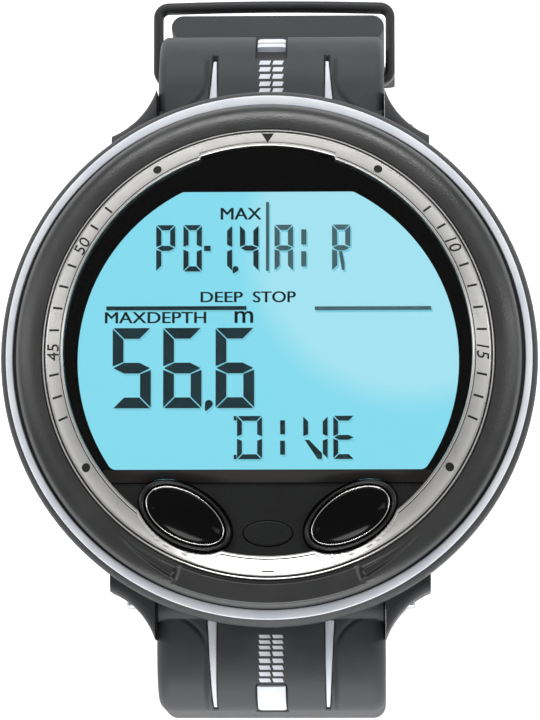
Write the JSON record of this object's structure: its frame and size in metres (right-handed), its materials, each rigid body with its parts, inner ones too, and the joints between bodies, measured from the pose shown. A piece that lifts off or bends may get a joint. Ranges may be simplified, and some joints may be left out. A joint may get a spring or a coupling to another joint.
{
  "type": "dive computer",
  "caption": "Round wrist dive computer with a lit segment display, steel ring, oval push buttons and a two-piece strap with buckle and keeper.",
  "frame": {"origin": "centre of the case back's flat face", "axes": "+Z out through the glass, +Y towards twelve o'clock, +X towards three o'clock"},
  "size_m": [0.075, 0.1066, 0.076],
  "materials": {
    "black_shell": "satin moulded",
    "black_bezel": "fine grained",
    "white_trim": "gloss",
    "steel": "satin turned",
    "glass": "clear",
    "black_gloss": "polished",
    "black_print": "printed",
    "display": "lit",
    "strap_rubber": "matte moulded",
    "strap_light": "matte moulded",
    "seal_rubber": "matte",
    "spring_steel": "drawn",
    "circuit_board": "solder mask",
    "component_black": "moulded",
    "inner_plastic": "moulded",
    "contact_metal": "plated",
    "cell_steel": "nickel plated"
  },
  "bodies": {
    "case": {"case_body": "black_shell", "accent_ring": "white_trim", "bezel_ring": "black_bezel", "trim_ring": "steel", "lens": "glass", "lens_gasket": "seal_rubber", "display_mask": "black_print", "button_panel": "black_bezel", "left_button_rim": "black_gloss", "right_button_rim": "black_gloss", "left_button_oring": "seal_rubber", "right_button_oring": "seal_rubber", "left_button_spring": "spring_steel", "right_button_spring": "spring_steel", "interface_window": "black_gloss", "lcd_glass": "display", "lcd_frame": "inner_plastic", "backlight_panel": "inner_plastic", "elastomer_strips": "seal_rubber", "main_board": "circuit_board", "board_components": "component_black", "left_switch": "component_black", "right_switch": "component_black", "pressure_sensor": "cell_steel", "sensor_oring": "seal_rubber", "sensor_grille": "spring_steel", "buzzer": "component_black", "coin_cell": "cell_steel", "battery_holder": "component_black", "board_contact": "contact_metal", "case_back": "black_shell", "case_back_gasket": "seal_rubber", "case_back_screws": "spring_steel", "upper_strap_pin": "spring_steel", "lower_strap_pin": "spring_steel"},
    "left_button": {"left_button_cap": "black_gloss", "left_button_stem": "spring_steel", "left_button_clip": "spring_steel"},
    "right_button": {"right_button_cap": "black_gloss", "right_button_stem": "spring_steel", "right_button_clip": "spring_steel"},
    "battery_door": {"battery_cover": "black_bezel", "battery_cover_oring": "seal_rubber", "cover_contact": "contact_metal"},
    "upper_strap": {"upper_strap": "strap_rubber", "upper_strap_inlays": "strap_light", "buckle_pin": "spring_steel"},
    "keeper": {"strap_keeper": "strap_rubber"},
    "buckle": {"buckle_frame": "black_shell"},
    "prong": {"buckle_prong": "spring_steel"},
    "lower_strap": {"lower_strap": "strap_rubber", "lower_strap_inlays": "strap_light"}
  },
  "joints": [
    {"name": "left_button_press", "type": "slide", "parent": "case", "child": "left_button", "axis": [0, 0, -1], "range_m": [0, 0.001], "stiffness_N_per_m": 400, "springref_m": -0.001, "deforming": ["left_button_spring"]},
    {"name": "right_button_press", "type": "slide", "parent": "case", "child": "right_button", "axis": [0, 0, -1], "range_m": [0, 0.001], "stiffness_N_per_m": 400, "springref_m": -0.001, "deforming": ["right_button_spring"]},
    {"name": "battery_cover_turn", "type": "hinge", "parent": "case", "child": "battery_door", "pos_m": [0, 0.0126, 0], "axis": [0, 0, 1], "range_deg": [0, 50]},
    {"name": "upper_strap_hinge", "type": "hinge", "parent": "case", "child": "upper_strap", "pos_m": [0, 0.0336, 0.007], "axis": [1, 0, 0], "range_deg": [0, 45]},
    {"name": "lower_strap_hinge", "type": "hinge", "parent": "case", "child": "lower_strap", "pos_m": [0, -0.0336, 0.007], "axis": [-1, 0, 0], "range_deg": [0, 45]},
    {"name": "keeper_slide", "type": "slide", "parent": "upper_strap", "child": "keeper", "axis": [0, 0, 1], "range_m": [-0.003, 0.005]},
    {"name": "buckle_hinge", "type": "hinge", "parent": "upper_strap", "child": "buckle", "pos_m": [0, 0.0465, -0.0183], "axis": [1, 0, 0], "range_deg": [-110, 0]},
    {"name": "prong_hinge", "type": "hinge", "parent": "upper_strap", "child": "prong", "pos_m": [0, 0.0465, -0.0183], "axis": [1, 0, 0], "range_deg": [0, 95]}
  ]
}
